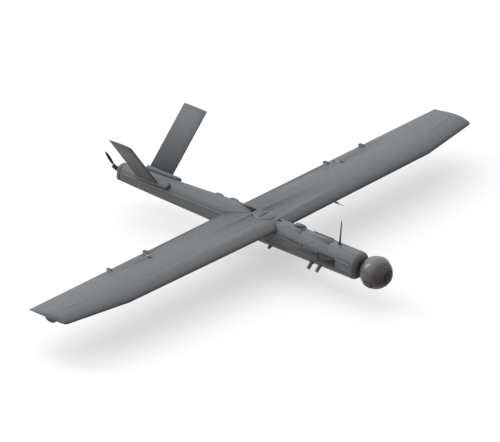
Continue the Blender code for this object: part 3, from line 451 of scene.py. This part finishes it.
def shell_point(x, angle):
    """Point on the straight part of the body, and the way out of it, angle degrees from +Y towards +Z."""
    across, up = math.cos(math.radians(angle)), math.sin(math.radians(angle))
    centre_y = (HALF - CORNER) * (1 if across > 0 else -1)
    centre_z = (HALF - CORNER) * (1 if up > 0 else -1)
    return (Vector((x, centre_y + CORNER * across, AXIS_Z + centre_z + CORNER * up)), Vector((0, across, up)))


def shell_at_height(x, side, height):
    """The same for a height above the body's axis on one side."""
    over = max(0.0, abs(height) - (HALF - CORNER))
    angle = math.degrees(math.asin(min(1.0, over / CORNER))) * (1 if height > 0 else -1)
    return shell_point(x, angle if side > 0 else 180 - angle)


def shell_at_width(x, y):
    """The same for a place on the top, y to the left of the middle."""
    over = max(0.0, abs(y) - (HALF - CORNER))
    tilt = math.degrees(math.asin(min(1.0, over / CORNER))) * (1 if y > 0 else -1)
    point, outward = shell_point(x, 90 - tilt)
    if abs(y) < HALF - CORNER:
        point.y = y
    return point, outward


def screws(name, places, radius, body):
    """Button head screws with a hex recess, joined into one piece."""
    made = []
    for point, outward in places:
        deselect_all()
        bpy.ops.mesh.primitive_cylinder_add(vertices=12, radius=radius, depth=radius * 0.7)
        head = bpy.context.object
        select_faces(head, lambda centre, normal: normal.z > 0.9)
        bpy.ops.mesh.bevel(offset=radius * 0.22, segments=2)
        leave_edit()
        select_faces(head, lambda centre, normal: normal.z > 0.9 and centre.xy.length < radius * 0.1)
        bpy.ops.mesh.inset(thickness=radius * 0.30)
        bpy.ops.transform.translate(value=(0, 0, -radius * 0.35))
        leave_edit()
        turn = outward.to_track_quat("Z", "Y").to_matrix().to_4x4()
        head.matrix_world = Matrix.Translation(point + outward * radius * 0.25) @ turn
        only(head)
        bpy.ops.object.transform_apply(location=True, rotation=True, scale=True)
        made.append(head)
    return join(made, name, body, "bright_metal" if body == "ball" else "dark_plastic")


def ring(name, centre, axis, major, minor, body, look, steps=72):
    deselect_all()
    bpy.ops.mesh.primitive_torus_add(major_segments=steps, minor_segments=12, major_radius=major,
                                     minor_radius=minor)
    thing = bpy.context.object
    thing.matrix_world = Matrix.Translation(centre) @ axis.to_track_quat("Z", "Y").to_matrix().to_4x4()
    return settle(thing, name, body, look, 60)


def cord_line(name, points, radius, body, look):
    """A thin round line through points, made a mesh."""
    curve = bpy.data.curves.new(name, "CURVE")
    curve.dimensions = "3D"
    curve.bevel_depth = radius
    curve.bevel_resolution = 2
    curve.use_fill_caps = True
    spline = curve.splines.new("POLY")
    spline.points.add(len(points) - 1)
    for knot, point in zip(spline.points, points):
        knot.co = (*point, 1.0)
    thing = bpy.data.objects.new(name, curve)
    bpy.context.scene.collection.objects.link(thing)
    only(thing)
    bpy.ops.object.convert(target="MESH")
    thing = bpy.context.object
    edit(thing)
    bpy.ops.mesh.remove_doubles(threshold=1e-6)
    bpy.ops.mesh.normals_make_consistent(inside=False)
    leave_edit()
    return settle(thing, name, body, look, 50)


# ---- body --------------------------------------------------------------------------------------
class DRONE_OT_body(bpy.types.Operator):
    """Skins of the body, nose and tail, with their rails and covers"""
    bl_idname = "drone.body"
    bl_label = "Body"

    def execute(self, context):
        for node in ("tail_shell", "centre_shell", "nose_shell", "nose_cap", "tail_cap", "launch_rail",
                     "battery_hatch"):
            skin(node)
        # The rails take the lightened rail paint, a painted highlight line along each side.
        for node in ("left_side_rail", "right_side_rail", "right_front_rail"):
            skin(node, look="rail_paint")
        skin("side_window", 30)
        skin("arming_button", 30)
        return {"FINISHED"}


SEAM_FROM_WING = 0.045              # the lower seam starts this far behind the wing's leading edge
SEAM_TO_NOSE = 0.005                # and stops this far short of the nose
SEAM_HEIGHT = -0.40                 # as a share of the body's half width
SEAM_STEPS = 12
SCREW_INSET = 0.008                 # from the ends of the nose shell
WINDOW_SCREW_HEIGHTS = (-0.30, 0.22)
WINDOW_SEAL_R = 0.0008
WINDOW_SEAL_STEPS = 6


class DRONE_OT_body_details(bpy.types.Operator):
    """Sealing cords in the lower seams, screws round the covers and the nose, and the window's seal"""
    bl_idname = "drone.body_details"
    bl_label = "Body details"

    def execute(self, context):
        sizes = context.scene.drone_sizes
        low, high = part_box("nose_shell")
        wing_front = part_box("left_wing")[1].x
        for side, word in ((1, "left"), (-1, "right")):
            start = wing_front - SEAM_FROM_WING
            length = high.x - SEAM_TO_NOSE - start
            points = []
            for i in range(SEAM_STEPS + 1):
                point, outward = shell_at_height(start + length * i / SEAM_STEPS, side, SEAM_HEIGHT * HALF)
                points.append(point + outward * sizes.seam_radius * 0.2)
            cord_line(word + "_lower_seam_cord", points, sizes.seam_radius, "airframe", "seal")
        places = []
        hatch_low, hatch_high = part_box("battery_hatch")
        for x in (hatch_low.x - 0.006, (hatch_low.x + hatch_high.x) / 2, hatch_high.x + 0.006):
            places.append(shell_at_width(x, hatch_low.y - 0.005))
        for i in range(8):
            places.append(shell_point(high.x - SCREW_INSET, 22.5 + 45 * i))
        for i in range(6):
            places.append(shell_point(low.x + SCREW_INSET, -70 + 56 * i))
        window_low, window_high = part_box("side_window")
        for x in (window_low.x - 0.005, window_high.x + 0.005):
            for height in WINDOW_SCREW_HEIGHTS:
                places.append(shell_at_height(x, -1, height * HALF))
        screws("panel_screws", places, sizes.screw_radius, "airframe")
        corners = ((window_low.x, window_low.z), (window_high.x, window_low.z),
                   (window_high.x, window_high.z), (window_low.x, window_high.z))
        route = []
        for (x0, z0), (x1, z1) in zip(corners, corners[1:] + corners[:1]):
            for i in range(WINDOW_SEAL_STEPS):
                share = i / WINDOW_SEAL_STEPS
                point, outward = shell_at_height(x0 + (x1 - x0) * share, -1, z0 + (z1 - z0) * share - AXIS_Z)
                route.append(point + outward * 0.0003)
        route.append(route[0])
        cord_line("side_window_seal", route, WINDOW_SEAL_R, "airframe", "seal")
        return {"FINISHED"}


# ---- wing --------------------------------------------------------------------------------------
KNOB_RIM_IN, KNOB_RIM_R = 0.0042, 0.0011
KNOB_GASKET_OUT, KNOB_GASKET_R, KNOB_GASKET_DROP = 0.0004, 0.0007, 0.0022
SLOT_LINER_R, SLOT_LINER_THICK, SLOT_LINER_DROP, SLOT_LINER_REACH = 0.0026, 0.0010, 0.0030, 0.0255
KNOB_RING_STEPS = 96


class DRONE_OT_wing(bpy.types.Operator):
    """Skins of the wing panels, ailerons and their linkages, and the lock knob"""
    bl_idname = "drone.wing"
    bl_label = "Wing"

    def execute(self, context):
        for word in ("left", "right"):
            skin(word + "_wing", 40)
            skin(word + "_aileron", 30)
            skin(word + "_servo_arm", 30)
            skin(word + "_push_rod", 50)
        skin("wing_lock_knob", 30)
        low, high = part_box("wing_lock_knob")
        radius = (high.x - low.x) / 2
        body = BODY_OF["wing_lock_knob"]
        up = Vector((0, 0, 1))
        face = Vector(((low.x + high.x) / 2, (low.y + high.y) / 2, high.z))
        ring("wing_lock_gasket", face - up * KNOB_GASKET_DROP, up, radius + KNOB_GASKET_OUT, KNOB_GASKET_R,
             body, "seal", KNOB_RING_STEPS)
        # The rim takes the lightened rail paint, a painted highlight on the knob's raised edge.
        ring("wing_lock_rim", face, up, radius - KNOB_RIM_IN, KNOB_RIM_R, body, "rail_paint",
             KNOB_RING_STEPS)
        deselect_all()
        bpy.ops.mesh.primitive_cylinder_add(vertices=24, radius=SLOT_LINER_R, depth=SLOT_LINER_THICK,
                                            location=face - up * SLOT_LINER_DROP)
        liner = context.object
        for side in (1, -1):
            select_faces(liner, lambda middle, normal: normal.y * side > 0.1 and abs(normal.z) < 0.5)
            bpy.ops.transform.translate(value=(0, side * SLOT_LINER_REACH, 0))
            leave_edit()
        settle(liner, "wing_lock_slot_liner", body, "seal")
        return {"FINISHED"}


# ---- tail --------------------------------------------------------------------------------------
def skin_tree(node):
    """A node's faces, to look up places on its surface."""
    thing = frame["nodes"][node]
    corners = [thing.matrix_world @ vertex.co for vertex in thing.data.vertices]
    return BVHTree.FromPolygons(corners, [tuple(face.vertices) for face in thing.data.polygons])


def top_of(tree, x, y):
    """The place on top of a surface at x, y."""
    place = tree.ray_cast(Vector((x, y, 1.0)), Vector((0, 0, -1)))[0]
    if place is None:
        raise RuntimeError("nothing below that point")
    return place


# Dark cords near the wing tips stand for the line where the airfoil's shading turns dark: painted shade, not
# a joint.
TIP_SHADE_START, TIP_SHADE_LENGTH = 0.850, 0.118    # as shares of the half span
TIP_SHADE_BACK, TIP_SHADE_RAKE = 0.102, 0.028       # behind the foremost edge, and how much more at its end
TIP_SHADE_R, TIP_SHADE_SUNK, TIP_SHADE_STEPS = 0.0007, 0.0003, 8
ROOT_SEAM_OUT = 0.036                               # from the body's side
ROOT_SEAM_INSET = 0.030                             # from the wing's front and back
ROOT_SEAM_R, ROOT_SEAM_SUNK, ROOT_SEAM_STEPS = 0.0005, 0.00035, 12


class DRONE_OT_wing_details(bpy.types.Operator):
    """Painted shade lines near the wing tips, and root seams on the wing"""
    bl_idname = "drone.wing_details"
    bl_label = "Wing details"

    def execute(self, context):
        low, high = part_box("left_wing")
        length = high.x - ROOT_SEAM_INSET - low.x - ROOT_SEAM_INSET
        for side, word in ((1, "left"), (-1, "right")):
            tree = skin_tree(word + "_wing")
            tip_shade_route, root_route = [], []
            for i in range(TIP_SHADE_STEPS + 1):
                share = i / TIP_SHADE_STEPS
                x = high.x - TIP_SHADE_BACK - TIP_SHADE_RAKE * share
                y = side * high.y * (TIP_SHADE_START + TIP_SHADE_LENGTH * share)
                tip_shade_route.append(top_of(tree, x, y) - Vector((0, 0, TIP_SHADE_SUNK)))
            # Dark cord as a painted shade line near the tip.
            cord_line(word + "_tip_shade_line", tip_shade_route, TIP_SHADE_R, "airframe", "seal")
            for i in range(ROOT_SEAM_STEPS + 1):
                x = low.x + ROOT_SEAM_INSET + length * i / ROOT_SEAM_STEPS
                y = side * (HALF + ROOT_SEAM_OUT)
                root_route.append(top_of(tree, x, y) - Vector((0, 0, ROOT_SEAM_SUNK)))
            cord_line(word + "_root_seam", root_route, ROOT_SEAM_R, "airframe", "seal")
        return {"FINISHED"}


class DRONE_OT_tail(bpy.types.Operator):
    """Skins of the V tail panels and their fairings"""
    bl_idname = "drone.tail"
    bl_label = "V tail"

    def execute(self, context):
        for word in ("left", "right"):
            skin(word + "_tail_panel", 40)
            skin(word + "_tail_fairing", 40)
            skin(word + "_tail_pivot_tube", 50)
        return {"FINISHED"}


# ---- propeller ---------------------------------------------------------------------------------
class DRONE_OT_propeller(bpy.types.Operator):
    """Skins of the hub and the two folding blades"""
    bl_idname = "drone.propeller"
    bl_label = "Propeller"

    def execute(self, context):
        skin("prop_hub", 35)
        skin("prop_blade_1", 60)
        skin("prop_blade_2", 60)
        skin("motor_shaft", 40)
        skin("motor", 35)
        return {"FINISHED"}


# ---- camera ball -------------------------------------------------------------------------------
SHELL_RING_ANGLE = math.radians(44)  # where the ball's front ring lies, from straight ahead
SMALL_RING_R = 0.0007
CAP_SCREW_R = 0.0019
CAP_SCREW_PLACE = 0.70              # as a share of a tilt cap's radius


class DRONE_OT_ball(bpy.types.Operator):
    """Skins and small parts of the camera ball"""
    bl_idname = "drone.ball"
    bl_label = "Camera ball"

    def execute(self, context):
        sizes = context.scene.drone_sizes
        window_r = (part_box("front_window")[1].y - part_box("front_window")[0].y) / 2
        flat = math.sqrt(BALL_R ** 2 - window_r ** 2)
        round_off(skin("ball_shell", 40), BALL, BALL_R, flat + 0.0004)
        skin("front_window", 40)
        skin("left_tilt_cap", 35)
        skin("right_tilt_cap", 35)
        skin("gimbal_fork", 35)
        ahead = Vector((1, 0, 0))
        ring("window_bezel", BALL + ahead * flat, ahead, window_r + 0.0008, sizes.bezel_radius, "ball",
             "seal")
        ring("front_shell_ring", BALL + ahead * BALL_R * math.cos(SHELL_RING_ANGLE), ahead,
             BALL_R * math.sin(SHELL_RING_ANGLE) - 0.0003, SMALL_RING_R, "ball", "ball_paint")
        cap_r = reach("right_tilt_cap", BALL, ahead)
        for side, word in ((1, "left"), (-1, "right")):
            outward = TILT_AXIS * side
            face = BALL + outward * reach(word + "_tilt_cap", BALL, outward)
            first = outward.cross(ahead)
            places = []
            for i in range(4):
                angle = math.radians(45 + 90 * i)
                way = ahead * math.cos(angle) + first * math.sin(angle)
                places.append((face + way * cap_r * CAP_SCREW_PLACE, outward))
            screws(word + "_tilt_cap_screws", places, CAP_SCREW_R, "ball")
            ring(word + "_tilt_cap_ring", face - outward * 0.0010, outward, cap_r + 0.0003, SMALL_RING_R,
                 "ball", "seal")
        return {"FINISHED"}


# ---- aerials and fittings ----------------------------------------------------------------------
class DRONE_OT_fittings(bpy.types.Operator):
    """Skins of the aerials, scoops, connectors and probe"""
    bl_idname = "drone.fittings"
    bl_label = "Fittings"

    def execute(self, context):
        for node in ("satellite_dome", "air_scoop_1", "air_scoop_2", "whip_antenna", "blade_antenna",
                     "belly_connector_1", "belly_connector_2", "pitot_probe", "hatch_hinge"):
            skin(node, 38)
        return {"FINISHED"}


# ---- stage -------------------------------------------------------------------------------------
CAMERA_AZIMUTH = math.radians(-54.69)  # of the camera, seen from the hub, from +X towards +Y
CAMERA_HEIGHT = math.radians(25.58)    # above level
CAMERA_ROLL = math.radians(5.0)
CAMERA_FAR = 76.0                      # a long lens, so that the wings look nearly parallel
VIEW_WIDTH = 1.907                     # metres seen across, at the hub's distance
AIM_RIGHT, AIM_BELOW = 0.5139, 0.2054  # the middle of the view, from the hub
ROOM_BEHIND = (1.66, 1.72, 1.78)
ROOM_AHEAD = (0.46, 0.42, 0.40)
GROUND_AHEAD = (0.22, 0.195, 0.18)
GROUND_BEHIND = (0.72, 0.66, 0.62)
FLOOR_GLOW = 0.43


def area_light(name, place, target, size, size_y, power):
    light = bpy.data.lights.new(name, "AREA")
    light.shape = "RECTANGLE"
    light.size, light.size_y = size, size_y
    light.energy = power
    lamp = bpy.data.objects.new(name, light)
    lamp.location = place
    lamp.rotation_mode = "QUATERNION"
    lamp.rotation_quaternion = (Vector(target) - Vector(place)).to_track_quat("-Z", "Y")
    bpy.context.scene.collection.objects.link(lamp)


class DRONE_OT_stage(bpy.types.Operator):
    """Camera, pale floor and soft studio lights"""
    bl_idname = "drone.stage"
    bl_label = "Studio"

    def execute(self, context):
        sizes = context.scene.drone_sizes
        lens = bpy.data.cameras.new("Long lens")
        lens.sensor_width = 36.0
        lens.lens = lens.sensor_width * CAMERA_FAR / VIEW_WIDTH
        lens.clip_start, lens.clip_end = 0.1, 1000.0
        camera = bpy.data.objects.new("Camera", lens)
        turn = (Matrix.Rotation(CAMERA_AZIMUTH + math.pi / 2, 4, "Z")
                @ Matrix.Rotation(math.pi / 2 - CAMERA_HEIGHT, 4, "X")
                @ Matrix.Rotation(CAMERA_ROLL, 4, "Z"))
        place = HUB + turn @ Vector((AIM_RIGHT, -AIM_BELOW, CAMERA_FAR))
        camera.matrix_world = Matrix.Translation(place) @ turn
        context.scene.collection.objects.link(camera)
        context.scene.camera = camera

        deselect_all()
        bpy.ops.mesh.primitive_plane_add(size=sizes.floor_size, location=(0, 0, -sizes.floor_drop))
        floor = context.object
        floor.name = "studio_floor"
        made, tree, shader, where = new_material("Pale floor")
        surface = place_group(tree, "surface", where, Grain_Scale=60.0)
        colour = tuple(context.scene.drone_colours.floor)
        tree.links.new(mix_colour(tree, surface.outputs["Marks"], colour, scaled_colour(colour, 0.985)),
                       shader.inputs["Base Color"])
        shader.inputs["Roughness"].default_value = 0.9
        shader.inputs["Specular IOR Level"].default_value = 0.1
        shader.inputs["Emission Color"].default_value = (1.0, 1.0, 1.0, 1.0)
        shader.inputs["Emission Strength"].default_value = FLOOR_GLOW
        floor.data.materials.append(made)

        # The floor is seen but throws no light back, so the underside stays as dark as the room below it.
        floor.visible_diffuse = False
        floor.visible_glossy = False

        world = bpy.data.worlds.new("Soft studio")
        world.use_nodes = True
        tree = world.node_tree
        direction = tree.nodes.new("ShaderNodeSeparateXYZ")
        tree.links.new(tree.nodes.new("ShaderNodeTexCoord").outputs["Generated"], direction.inputs[0])
        above = ramp(tree, direction.outputs["Z"], -0.15, 0.75)
        behind = ramp(tree, direction.outputs["X"], 0.50, -0.60)
        sky = mix_colour(tree, behind, ROOM_AHEAD, ROOM_BEHIND)
        ground = mix_colour(tree, behind, GROUND_AHEAD, GROUND_BEHIND)
        room = mix_colour(tree, above, ground, sky)
        seen = tree.nodes.new("ShaderNodeLightPath").outputs["Is Camera Ray"]
        background = tree.nodes["Background"]
        tree.links.new(mix_colour(tree, seen, room, (1.0, 1.0, 1.0)), background.inputs["Color"])
        background.inputs["Strength"].default_value = 1.0
        context.scene.world = world
        area_light("Rear strip", (-3.2, -1.6, 2.6), (0, 0, 0.1), 0.35, 2.4, 26.0)
        context.scene.view_settings.view_transform = "Standard"
        return {"FINISHED"}


# ---- panel and registration --------------------------------------------------------------------
OPERATORS = (DRONE_OT_materials, DRONE_OT_stage, DRONE_OT_body, DRONE_OT_body_details, DRONE_OT_wing,
             DRONE_OT_wing_details, DRONE_OT_tail, DRONE_OT_propeller, DRONE_OT_ball, DRONE_OT_fittings)


class DRONE_PT_panel(bpy.types.Panel):
    bl_label = "Fixed Wing Drone"
    bl_idname = "DRONE_PT_panel"
    bl_space_type = "VIEW_3D"
    bl_region_type = "UI"
    bl_category = "Drone"

    def draw(self, context):
        for operator in OPERATORS:
            self.layout.operator(operator.bl_idname)
        for settings in (context.scene.drone_sizes, context.scene.drone_colours):
            for name in settings.__annotations__:
                self.layout.prop(settings, name)


CLASSES = (DroneSizes, DroneColours, *OPERATORS, DRONE_PT_panel)


def register():
    for each in CLASSES:
        bpy.utils.register_class(each)
    bpy.types.Scene.drone_sizes = bpy.props.PointerProperty(type=DroneSizes)
    bpy.types.Scene.drone_colours = bpy.props.PointerProperty(type=DroneColours)


def unregister():
    del bpy.types.Scene.drone_colours
    del bpy.types.Scene.drone_sizes
    for each in reversed(CLASSES):
        bpy.utils.unregister_class(each)


def main():
    register()
    for operator in OPERATORS:
        group, name = operator.bl_idname.split(".")
        getattr(getattr(bpy.ops, group), name)()


if __name__ == "__main__":
    main()
